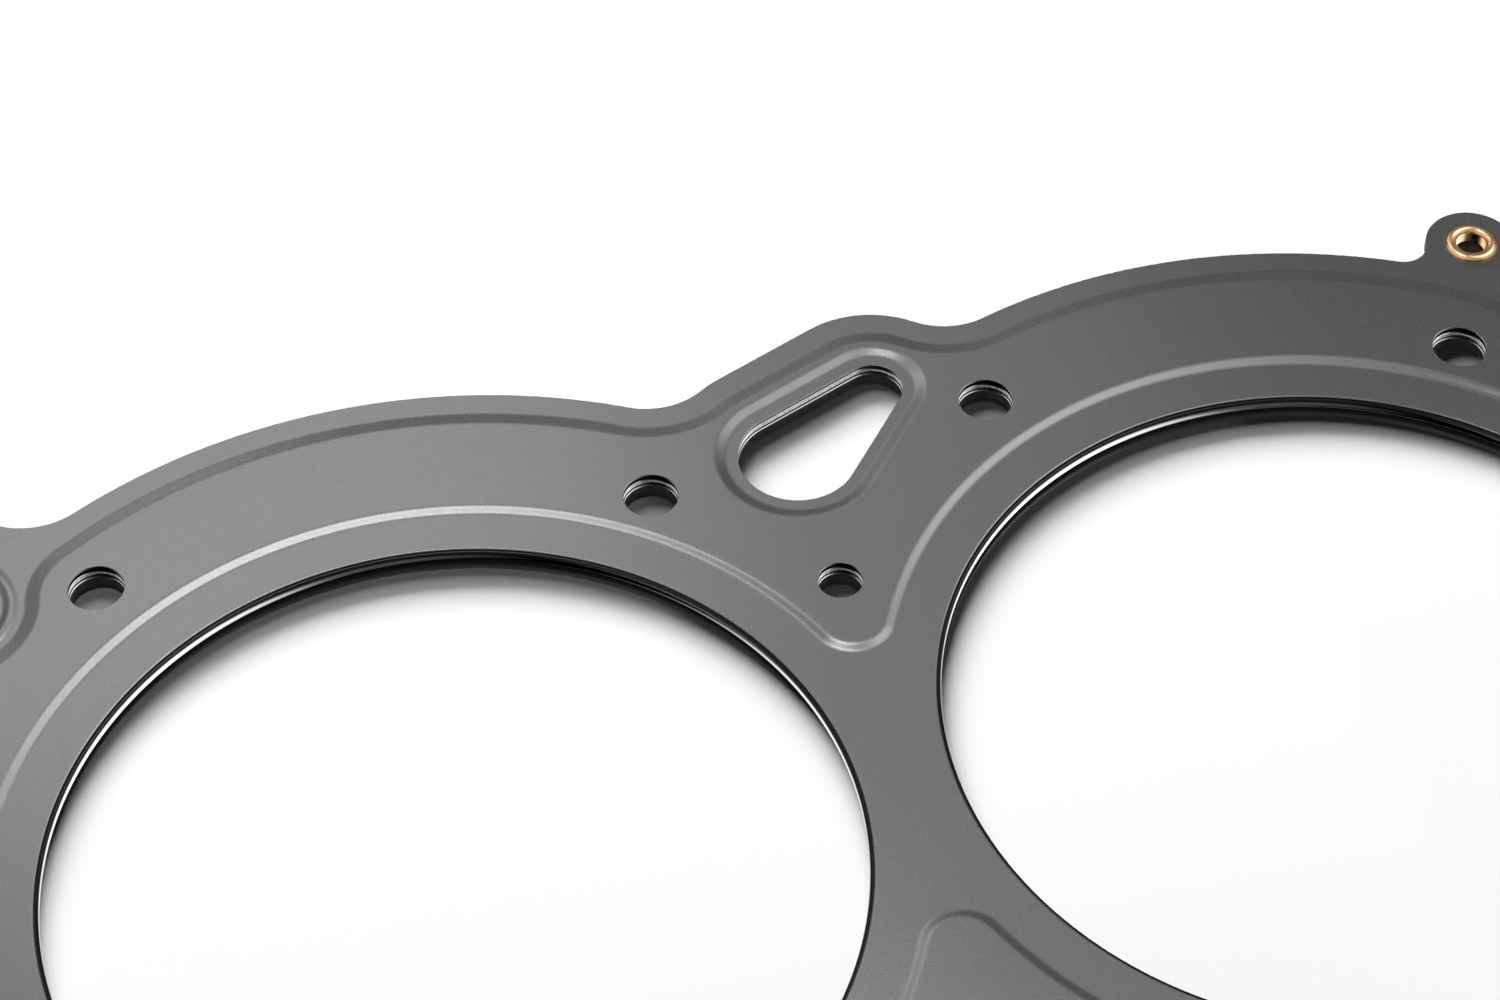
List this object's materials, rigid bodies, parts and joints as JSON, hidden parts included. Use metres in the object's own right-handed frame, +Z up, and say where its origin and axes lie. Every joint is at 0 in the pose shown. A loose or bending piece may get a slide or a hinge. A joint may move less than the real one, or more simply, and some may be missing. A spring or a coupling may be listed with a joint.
{
  "type": "cylinder head gasket",
  "caption": "Flat multi-layer steel cylinder head gasket with round bore openings, embossed half beads, a tear-shaped oil drain, water holes and brass eyelets.",
  "frame": {"origin": "on the axis of the first cylinder bore, half way through the clamped plates", "axes": "+X along the row of cylinders, +Y across it towards the oil drain, +Z up towards the cylinder head"},
  "size_m": [0.2312, 0.1346, 0.002],
  "materials": {
    "plate_coating": "satin dark grey rubber-based coating on stainless spring steel",
    "core_steel": "bare stainless sheet with punched edges",
    "ring_steel": "polished stainless strip",
    "eyelet_brass": "bright copper-coloured brass"
  },
  "bodies": {
    "root": {"top_bead_plate": "plate_coating", "core_plate": "core_steel", "lower_plate": "plate_coating", "stopper_ring_1": "ring_steel", "stopper_ring_2": "ring_steel", "eyelet_1": "eyelet_brass", "eyelet_2": "eyelet_brass"}
  },
  "joints": []
}
